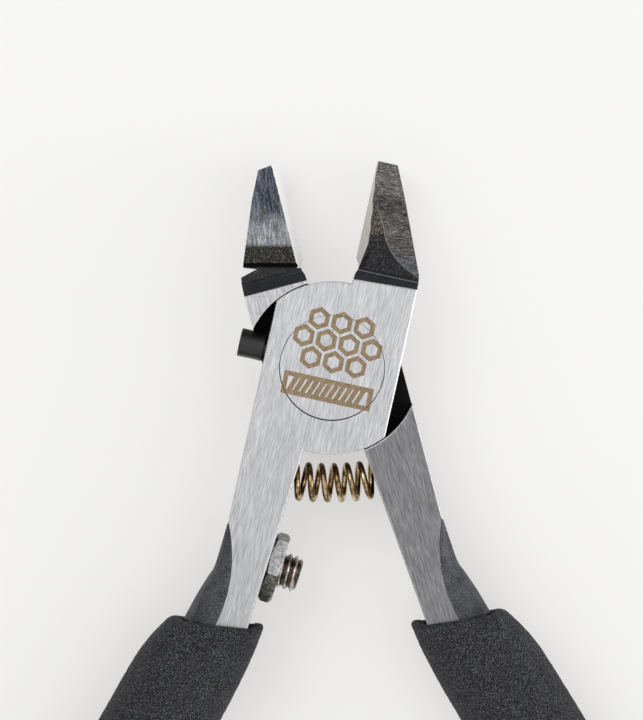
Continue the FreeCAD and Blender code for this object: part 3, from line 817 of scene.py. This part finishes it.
def inner_bevel_cutter(side, materials):
    """Slope from the cutting edge up to the jaw's front face; its width changes along the jaw."""
    # The front jaw's strip takes a darker grey as painted shade, the back jaw's bevel a near-white painted
    # highlight.
    if side == FRONT_SIDE:
        stations = ((RELIEF_RISE, 1.02), (13.0, 0.97), (15.5, 0.82), (17.5, 0.62), (20.0, 0.38),
                    (JAW_LENGTH + 0.5, 0.14))
        material = materials["strip"]
    else:
        length = JAW_LENGTH + 0.5 - RELIEF_RISE
        stations = [(RELIEF_RISE + length * (step / 12), 0.80 - 0.20 * (step / 12)) for step in range(13)]
        # Near-white painted highlight, with a faint glow, on the back jaw's bevel.
        material = materials["painted_highlight_strip"]
    plane = jaw_plane if side == FRONT_SIDE else polish_plane
    rings = []
    for rise, width in stations:
        height = max(plane(rise), BEVEL_LAND + 0.5)
        lean = width / (height - BEVEL_LAND)
        above = THICKNESS + 3
        ring = ((-2.0, BEVEL_LAND), (0.0, BEVEL_LAND), (lean * (above - BEVEL_LAND), above), (-2.0, above))
        rings.append([(side * x, rise, z) for x, z in ring])
    return loft("inner_bevel", rings, [material])


def round_cutter(radius, length, place, material, low=0.0):
    return lathe("hole", [(low, radius), (length, radius)], place, [material], steps=64)


def jaw_cutter(side, materials):
    """Drops the jaw below the lap plate, with a ridge along the top of the step."""
    slant = STEP_SLANT if side == FRONT_SIDE else 0.0
    profile = [
        (STEP_START + 0.02, THICKNESS + 3), (STEP_START + 0.02, THICKNESS),
        (STEP_START + 0.12, THICKNESS - 0.08), (STEP_END - 0.32, THICKNESS - 1.15),
        (STEP_END - 0.21, THICKNESS - 1.12), (STEP_END + 0.05, THICKNESS - STEP_DEPTH),
        (JAW_LENGTH + 1, jaw_plane(JAW_LENGTH + 1)), (JAW_LENGTH + 1, THICKNESS + 3),
    ]
    # The band faces take the darker forged scale, which carries painted shade.
    sides = [materials["band"], materials["hollow"], materials["chamfer"], materials["ridge"]]
    foot = STEP_START + 0.2

    def lay(rise, height, across):
        return (across, rise + slant * across if rise < foot else rise, height)

    ridge = 3 if side == FRONT_SIDE else 0
    return prism("jaw_step", profile, -12, 12, sides, [0, 2, 0, ridge, 0, 1, 0, 0], lay=lay)


def polish_cutter(materials):
    """Polished face of the back lever's jaw, with the dark groove at its foot, square to the row frame."""
    profile = [
        (10.72, THICKNESS + 3), (10.72, 7.0), (10.84, 5.7), (11.10, 5.7), POLISH_LOW,
        POLISH_TIP, (POLISH_TIP[0], THICKNESS + 3),
    ]
    cutter = prism("polish", profile, -14, 4, [materials["recess"], materials["jaw_polish"]],
                   [0, 0, 0, 0, 1, 0, 0], lay=lambda u, v, height: (height, u, v))
    cutter.data.transform(open_turn(BACK_SIDE).inverted())
    return cutter


def side_notch_cutter(materials):
    """Through notch in the outer side of the back lever's jaw."""
    outline = [(-JAW_HALF - 0.6, 13.30), (-5.1, NOTCH_RISE + 0.06), (-5.0, NOTCH_RISE - 0.08),
               (-JAW_HALF - 0.6, 11.62)]
    return prism("notch", outline, -1, THICKNESS + 1, [materials["band"]])


def bend_frame(side, reach):
    """Point on the handle's centre line and its outward direction, at a length below the mouth."""
    angle = BEND_START - reach / BEND_RADIUS
    x = -MOUTH_MIDDLE + BEND_RADIUS * cos(BEND_START) - BEND_RADIUS * cos(angle)
    y = -MOUTH_REACH - BEND_RADIUS * sin(BEND_START) + BEND_RADIUS * sin(angle)
    return Vector((side * x, y, MIDDLE)), Vector((-side * cos(angle), sin(angle), 0))


CHAMFER = 0.13
BEND_LENGTH = BEND_RADIUS * (BEND_START - BEND_END)
TANG_WIDTH = 5.2
TANG_THICKNESS = 5.6
TANG_SHORT = 1.8
TANG_ROOT = 2.0
ETCH_DEPTH = 0.03
ETCH_MIDDLE = (0.0, 2.75)
CELL_SIZE = 1.42
CELL_WALL = 0.34
BAND_BOX = (-4.85, 4.85, -3.7, -1.25)
BAND_RIM = 0.5
BAND_LEAN = 0.55
BAND_GAP = 0.2
BAND_BARS = 11


def tang(side, material):
    """Bar inside the grip."""
    rings = []
    steps = 20
    for step in range(steps + 1):
        reach = -TANG_ROOT + (BEND_LENGTH - TANG_SHORT + TANG_ROOT) * step / steps
        centre, out = bend_frame(side, reach)
        rings.append([centre + out * (TANG_WIDTH / 2 * a) + Vector((0, 0, TANG_THICKNESS / 2 * b))
                      for a, b in ((-1, -1), (1, -1), (1, 1), (-1, 1))])
    return loft("tang", rings, [material])


def etch(item, materials):
    """Etches a plain honeycomb and a plain ruled band into the closed front lever's face."""
    low, high = THICKNESS - ETCH_DEPTH, THICKNESS + 1
    brown = [materials["etched"]]
    outer, inner = CELL_SIZE - CELL_WALL / 2, CELL_SIZE - CELL_WALL * 2.1
    for row, count in ((0, 3), (1, 4), (2, 3)):
        for column in range(count):
            x = ETCH_MIDDLE[0] + (column - (count - 1) / 2) * CELL_SIZE * sqrt(3)
            y = ETCH_MIDDLE[1] + (1 - row) * CELL_SIZE * 1.5
            rings = []
            for corner in range(6):
                lean = Vector((sin(pi / 3 * corner), cos(pi / 3 * corner)))
                section = ((inner, low), (outer, low), (outer, high), (inner, high))
                rings.append([(x + lean.x * size, y + lean.y * size, height) for size, height in section])
            combine(item, loft("cell", rings, brown, closed_path=True))
    left, right, bottom, top = BAND_BOX
    west, east, south, north = left + BAND_RIM, right - BAND_RIM, bottom + BAND_RIM, top - BAND_RIM
    foot, head = south - 0.02, north + 0.02
    for x0, x1, y0, y1 in ((left, right, bottom, south), (left, right, north, top), (left, west, foot, head),
                           (east, right, foot, head)):
        combine(item, prism("rim", [(x0, y0), (x1, y0), (x1, y1), (x0, y1)], low, high, brown))
    step = (east - west - BAND_LEAN - BAND_GAP) / BAND_BARS
    for index in range(BAND_BARS):
        x = west + BAND_GAP + step * index
        near, far = x - BAND_GAP / 2, x + step - BAND_GAP * 1.5
        bar = [(near, foot), (far, foot), (far + BAND_LEAN, head), (near + BAND_LEAN, head)]
        combine(item, prism("bar", bar, low, high, brown))


def build_lever(name, side, materials):
    face = materials["front_face" if side == FRONT_SIDE else "back_face"]
    wall = materials["front_side" if side == FRONT_SIDE else "back_side"]
    outline = lever_outline(side)
    lever = prism(name, outline, 0, THICKNESS, [face, wall, materials["chamfer"]], [1] * len(outline))
    chamfer_rims(lever, CHAMFER, 2)
    combine(lever, jaw_cutter(side, materials))
    if side == FRONT_SIDE:
        combine(lever, grind_cutter(materials))
    else:
        combine(lever, polish_cutter(materials))
        combine(lever, side_notch_cutter(materials))
    combine(lever, inner_bevel_cutter(side, materials))
    for front in (True, False):
        combine(lever, flank_cutter(side, front, materials["forged"]))
    up = upright()
    lap, wide = LAP_HEIGHT, SHOULDER + CHAMFER
    recess = [(lap, SHOULDER), (CHAMFER, SHOULDER), (0, wide), (-1, wide)]
    if side == BACK_SIDE:
        recess = [(THICKNESS - height, radius) for height, radius in recess]
    floor = [materials["recess"], materials["chamfer"]]
    combine(lever, lathe("recess", recess, up, floor, [0, 0, 1, 0, 0, 0], steps=160))
    if side == FRONT_SIDE:
        seat = [(-1, RIVET_SHANK), (THICKNESS - HEAD_DEPTH, RIVET_SHANK), (THICKNESS, RIVET_HEAD + 0.03),
                (THICKNESS + 1, RIVET_HEAD + 0.03)]
    else:
        seat = [(-1, RIVET_TAIL + 0.06), (0, RIVET_TAIL + 0.06), (TAIL_DEPTH, RIVET_SHANK + 0.03),
                (THICKNESS, RIVET_SHANK + 0.03)]
    combine(lever, lathe("seat", seat, up, [materials["recess"]], steps=128))
    spring_place = Matrix.Translation((-side * SPRING_SEAT, -SPRING_RISE, MIDDLE))
    if side == BACK_SIDE:
        spring_place = spring_place @ Matrix.Rotation(pi, 4, "Z")
    combine(lever, round_cutter(SPRING_RADIUS + POCKET_GAP, SPRING_SEAT, spring_place, materials["recess"]))
    if side == FRONT_SIDE:
        screw = screw_seat()
        combine(lever, round_cutter(SCREW_RADIUS + 0.03, 10, screw, materials["recess"], -12))
        pin = Matrix.Translation((-HANDLE_HALF + PIN_DEPTH, PIN_RISE, PIN_HEIGHT))
        combine(lever, round_cutter(PIN_RADIUS, 0, pin, materials["recess"], -6))
    combine(lever, tang(side, materials["forged"]), "UNION")
    weld(lever, CROWDED, CROWDED)
    round_edges(lever, 0.04, 30, clamp=False)
    if side == FRONT_SIDE:
        etch(lever, materials)
    weld(lever)
    return to_row(lever, open_turn(side))


# ---------------------------------------------------------------- small pieces

def build_rivet(materials):
    """Flush rivet. Its head stands slightly high in its seat, so the gap is widest below."""
    edge, shrink = 0.03, 0.02
    profile = [
        (0.0, RIVET_TAIL - 0.25), (0.06, RIVET_TAIL - 0.06), (0.18, RIVET_TAIL - 0.03),
        (TAIL_DEPTH, RIVET_SHANK), (THICKNESS - HEAD_DEPTH, RIVET_SHANK),
        (THICKNESS - 0.10, RIVET_HEAD - shrink - 0.02), (THICKNESS - edge, RIVET_HEAD - shrink),
        (THICKNESS, RIVET_HEAD - shrink - edge),
    ]
    slots = [1, 1, 1, 1, 2, 2, 2, 2, 0, 0]
    place = Matrix.Translation((0, 0.05, 0)) @ upright()
    looks = [materials["front_face"], materials["tail"], materials["recess"]]
    rivet = lathe("pivot_rivet_flush", profile, place, looks, slots, 160)
    etch(rivet, materials)
    weld(rivet)
    return to_row(rivet, open_turn(FRONT_SIDE))


def pin_place():
    """From a frame whose +X runs out along the stop pin to the closed lever's frame."""
    seat = Matrix.Translation((PIN_DEPTH - HANDLE_HALF, PIN_RISE, PIN_HEIGHT))
    return seat @ Matrix.Rotation(pi, 4, "Z")


def build_pin(materials):
    end = PIN_DEPTH + PIN_BARE + SLEEVE_LENGTH - PIN_RECESS
    radius = PIN_RADIUS
    profile = [(0, radius - 0.1), (0.1, radius), (PIN_DEPTH, radius), (end - 0.25, radius),
               (end - 0.08, radius - 0.10), (end, radius - 0.30), (end + 0.02, AXIS)]
    pin = lathe("stop_pin_turned", profile, pin_place(), [materials["pin"]], steps=48)
    return to_row(pin, open_turn(FRONT_SIDE))


def build_sleeve(materials):
    low = PIN_DEPTH + PIN_BARE
    high = low + SLEEVE_LENGTH
    outer, inner = SLEEVE_RADIUS, PIN_RADIUS + 0.01
    lip = 0.16
    profile = [(low, inner), (low, outer - 0.10), (low + 0.10, outer)]
    waist = SLEEVE_LENGTH - 0.3 - lip
    for step in range(9):
        profile.append((low + 0.3 + waist * (step / 8), outer - 0.025 * sin(pi * (step / 8))))
    for step in range(1, 6):
        angle = pi / 2 * step / 5
        profile.append((high - lip + lip * sin(angle), outer - lip + lip * cos(angle)))
    profile += [(high, inner + 0.12), (high - 0.10, inner)]
    sleeve = lathe("stop_sleeve_tube", profile, pin_place(), [materials["sleeve"]], steps=72, hollow=True)
    return to_row(sleeve, open_turn(FRONT_SIDE), 50)


def build_screw(materials):
    """Stop screw with a cut thread, a chamfered tip and a hexagon socket at its outer end."""
    start = SCREW_REACH - SCREW_LENGTH
    stations, around = 12 * int(SCREW_LENGTH / SCREW_PITCH), 72
    crest, root = SCREW_RADIUS, SCREW_RADIUS - 0.58 * SCREW_PITCH
    rings = []
    for station in range(stations + 1):
        along = start + SCREW_LENGTH * station / stations
        end = min(along - start, SCREW_REACH - along)
        ring = []
        for step in range(around):
            angle = 2 * pi * step / around
            wave = (along / SCREW_PITCH - step / around) % 1.0
            share = min(max((abs(2 * wave - 1) - 0.12) / 0.74, 0.0), 1.0)
            radius = min(root + (crest - root) * share, SCREW_RADIUS - 0.5 + end)
            ring.append((along, *polar(radius, angle)))
        rings.append(ring)
    screw = loft("stop_screw_threaded", rings, [materials["screw"]])
    side = SOCKET_FLATS / sqrt(3)
    combine(screw, hexagon("socket", side, 0, start - 1, start + SOCKET_DEPTH, materials["screw"]))
    cone = [(start - 0.5, side + 0.6), (start + 0.25, side - 0.15)]
    combine(screw, lathe("lead", cone, Matrix(), [materials["screw"]], steps=48))
    weld(screw)
    return to_row(screw, open_turn(FRONT_SIDE) @ screw_seat(), 38)


def build_nut(materials):
    """Thin hexagon nut with chamfered corners and a countersunk threaded bore."""
    low, high = NUT_GAP, NUT_GAP + NUT_HEIGHT
    corner = NUT_FLATS / sqrt(3)
    nut = hexagon("lock_nut_hexagon", corner, NUT_TURN, low, high, materials["zinc"])
    face, wide = NUT_FLATS / 2 - 0.06, corner + 0.5
    drop = (wide - face) * tan(radians(30))
    profile = [(low, face), (low + drop, wide), (high - drop, wide), (high, face)]
    turn = Matrix.Rotation(NUT_TURN + pi / 72, 4, "X")
    combine(nut, lathe("crown", profile, turn, [materials["zinc"]], steps=72), "INTERSECT")
    weld(nut, CROWDED, CROWDED)
    round_edges(nut, 0.07, 20)
    bore = [(low - 0.5, SCREW_RADIUS + 0.52), (low + 0.22, SCREW_RADIUS + 0.02),
            (high - 0.22, SCREW_RADIUS + 0.02), (high + 0.5, SCREW_RADIUS + 0.74)]
    combine(nut, lathe("bore", bore, Matrix(), [materials["screw"]], steps=72))
    return to_row(nut, open_turn(FRONT_SIDE) @ screw_seat(), 30)


def build_spring(materials):
    """Coil bent on the arc between the two pockets; its last turns are hidden in them."""
    half = OPENING / 2
    coil = SPRING_RADIUS - SPRING_WIRE / 2
    bend = (SPRING_SEAT * cos(half) + SPRING_RISE * sin(half)) / sin(half)
    drop = SPRING_RISE * cos(half) - SPRING_SEAT * sin(half)
    centre = Vector((0, bend * cos(half) - drop, MIDDLE))
    reach = OPENING - SPRING_WIRE / bend
    steps, around = int(SPRING_TURNS * 40), 14
    points = []
    for step in range(steps + 1):
        share = step / steps
        along, turn = (share - 0.5) * reach, 2 * pi * SPRING_TURNS * share
        out = Vector((sin(along), -cos(along), 0))
        points.append(centre + out * (bend + coil * cos(turn)) - Vector((0, 0, coil * sin(turn))))
    rings = []
    for step, point in enumerate(points):
        ahead = (points[min(step + 1, steps)] - points[max(step - 1, 0)]).normalized()
        along = (step / steps - 0.5) * reach
        level = Vector((cos(along), sin(along), 0))
        side = (level - ahead * level.dot(ahead)).normalized()
        up = ahead.cross(side)
        near = min(step, steps - step)
        radius = SPRING_WIRE / 2 * (0.82, 0.95, 1.0)[min(near, 2)]
        angles = [2 * pi * turn / around for turn in range(around)]
        rings.append([point + (side * cos(angle) + up * sin(angle)) * radius for angle in angles])
    spring = loft("return_spring_coil", rings, [materials["spring"]])
    return to_row(spring, Matrix.Rotation((BACK_OPEN - FRONT_OPEN) / 2, 4, "Z"), 50)


# ---------------------------------------------------------------- foam grips

# Half width of the foam at shares of its length
GRIP_PROFILE = ((0.0, 5.15), (0.04, 5.52), (0.15, 5.72), (0.5, 6.25), (0.85, 6.1), (1.0, 5.3))
GRIP_BLEND = 10.0
GRIP_RIM = 0.62
GRIP_END = 2.4
MOUTH_LEAN = radians(6)
EAR_INNER = 0.38
EAR_OUTER = 0.2
EAR_DIP = 0.28
FOAM_STEP = 0.42
FOAM_AROUND = 132
FOAM_GRAIN = 0.055


def ease(share):
    share = min(max(share, 0.0), 1.0)
    return share * share * (3 - 2 * share)


def build_grip(name, side, materials):
    """Foam tube: squarish mouth with a soft rim and two ears, round below, rounded and closed at its end."""
    places = [GRIP_RIM * (1 - cos(pi / 2 * step / 6)) for step in range(6)]
    length = BEND_LENGTH - GRIP_RIM - GRIP_END
    body = int(length / FOAM_STEP)
    places += [GRIP_RIM + length * step / body for step in range(body + 1)]
    places += [BEND_LENGTH - GRIP_END + GRIP_END * sin(pi / 2 * step / 9) for step in range(1, 10)]

    def ring(reach, inset, dip=0.0, quiet=0.0):
        share = ease(reach / GRIP_BLEND)
        centre = bend_frame(side, reach)[0]
        tilt = (BEND_START - reach / BEND_RADIUS) * share - MOUTH_LEAN * (1 - share)
        out = Vector((-side * cos(tilt), sin(tilt), 0))
        down = Vector((-side * sin(tilt), -cos(tilt), 0))
        power = 2 / (3.4 - 1.4 * share)
        half = spline_at(GRIP_PROFILE, reach / BEND_LENGTH)
        points = []
        for step in range(FOAM_AROUND):
            angle = 2 * pi * step / FOAM_AROUND
            wave, rise = cos(angle), sin(angle)
            u = copysign(abs(wave) ** power, wave) * (half - inset)
            v = copysign(abs(rise) ** power, rise) * (half + 0.15 * (1 - share) - inset)
            ear = (EAR_INNER if wave < 0 else EAR_OUTER) * abs(wave) ** 6 - EAR_DIP
            point = centre + out * u + Vector((0, 0, v)) - down * (ear * (1 - ease(reach / 2.2)) - dip)
            grain = noise.noise(point * 1.9) + 0.6 * noise.noise(point * 4.1)
            away = (out * u + Vector((0, 0, v))).normalized()
            points.append(point + away * (FOAM_GRAIN * grain * (1 - quiet)))
        return points

    rings = [ring(0.0, 1.9, 1.2, quiet=1.0), ring(0.0, 1.45, 0.28, quiet=0.6), ring(0.0, 1.0, 0.03)]
    for reach in places:
        inset = 0.0
        if reach < GRIP_RIM:
            inset = GRIP_RIM * (1 - sqrt(max(0.0, 1 - (1 - reach / GRIP_RIM) ** 2)))
        if reach > BEND_LENGTH - GRIP_END:
            past = (reach - BEND_LENGTH + GRIP_END) / GRIP_END
            inset = GRIP_END * (1 - sqrt(max(0.0, 1 - min(past, 1.0) ** 2)))
        rings.append(ring(reach, inset))
    for inset in (GRIP_END + 1.0, GRIP_END + 2.0):
        rings.append(ring(BEND_LENGTH, inset, quiet=0.3))
    grip = loft(name, rings, [materials["foam"]])
    return to_row(grip, open_turn(side), 70)


# ---------------------------------------------------------------- camera, light and floor

CAMERA_HEIGHT = 430.0
VIEW_HEIGHT = 76.6
VIEW_CENTRE = (-1.12, 0.85)
SENSOR = 36.0
FLOOR_HALF = 20.0       # metres, as are the gap and the lamps' places and sizes
FLOOR_GAP = 0.0002
SKY = ((0.0, 0.10), (0.85, 1.0), (0.42, 0.62))
SKY_STRENGTH = 0.86
LAMPS = (("key", (-0.28, 0.30, 0.55), 0.5, 1.1), ("fill", (0.35, -0.1, 0.6), 0.6, 0.4),
         ("rim", (0.55, -0.05, 0.16), 0.3, 0.9))


def make_camera():
    data = bpy.data.cameras.new("camera")
    data.sensor_width = SENSOR
    data.lens = SENSOR * CAMERA_HEIGHT / VIEW_HEIGHT
    camera = bpy.data.objects.new("camera", data)
    camera.location = Vector((VIEW_CENTRE[0], VIEW_CENTRE[1], THICKNESS + CAMERA_HEIGHT)) * MM
    bpy.context.scene.collection.objects.link(camera)
    bpy.context.scene.camera = camera


def make_stage():
    mesh = bpy.data.meshes.new("floor")
    half, level = FLOOR_HALF, CAD_LOW[2] - FLOOR_GAP
    corners = [(-half, -half, level), (half, -half, level), (half, half, level), (-half, half, level)]
    mesh.from_pydata(corners, [], [(0, 1, 2, 3)])
    floor = new_object("floor", mesh)
    nodes = Nodes("floor_white")
    white = nodes.finish((0.46, 0.464, 0.468), 0.9, Emission_Color=(1.0, 0.985, 0.955, 1),
                         Emission_Strength=0.50)
    floor.data.materials.append(white)
    floor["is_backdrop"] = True
    world = bpy.data.worlds.new("studio")
    world.use_nodes = True
    tree = world.node_tree
    direction = tree.nodes.new("ShaderNodeTexCoord").outputs["Generated"]
    lean = tree.nodes.new("ShaderNodeVectorMath")
    lean.operation = "DOT_PRODUCT"
    lean.inputs[1].default_value = (0.0, -0.42, 0.91)
    tree.links.new(direction, lean.inputs[0])
    sky = tree.nodes.new("ShaderNodeValToRGB")
    sky.color_ramp.interpolation = "EASE"
    stops = sky.color_ramp.elements
    for element, (place, grey) in zip((stops[0], stops[1], stops.new(0.5)), SKY):
        element.position = place
        element.color = (grey, grey, grey, 1)
    tree.links.new(lean.outputs["Value"], sky.inputs["Fac"])
    tree.links.new(sky.outputs["Color"], tree.nodes["Background"].inputs["Color"])
    tree.nodes["Background"].inputs["Strength"].default_value = SKY_STRENGTH
    bpy.context.scene.world = world
    for name, place, size, power in LAMPS:
        data = bpy.data.lights.new(name, "AREA")
        data.shape = "DISK"
        data.size = size
        data.energy = power
        lamp = bpy.data.objects.new(name, data)
        lamp.location = place
        lamp.rotation_mode = "QUATERNION"
        lamp.rotation_quaternion = (-Vector(place)).to_track_quat("-Z", "Y")
        bpy.context.scene.collection.objects.link(lamp)
    bpy.context.scene.view_settings.view_transform = "Standard"


materials = make_materials()
pieces = (
    (build_lever("front_lever_ground", FRONT_SIDE, materials), "front_lever", "front", "front_lever_steel"),
    (build_lever("back_lever_ground", BACK_SIDE, materials), "back_lever", "back", "back_lever_steel"),
    (build_rivet(materials), "pivot_rivet", "front", "rivet_steel"),
    (build_pin(materials), "stop_pin", "front", "pin_steel"),
    (build_sleeve(materials), "stop_sleeve", "front", "sleeve_black"),
    (build_screw(materials), "stop_screw", "stop_screw", "screw_steel"),
    (build_nut(materials), "lock_nut", "lock_nut", "nut_zinc"),
    (build_grip("left_grip_foam", FRONT_SIDE, materials), "left_grip", "front", "grip_foam"),
    (build_grip("right_grip_foam", BACK_SIDE, materials), "right_grip", "back", "grip_foam"),
)
for piece, node, body, slot in pieces:
    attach(piece, body)
    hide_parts(node)

spring = build_spring(materials)
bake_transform(spring)
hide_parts("return_spring")

make_camera()
make_stage()
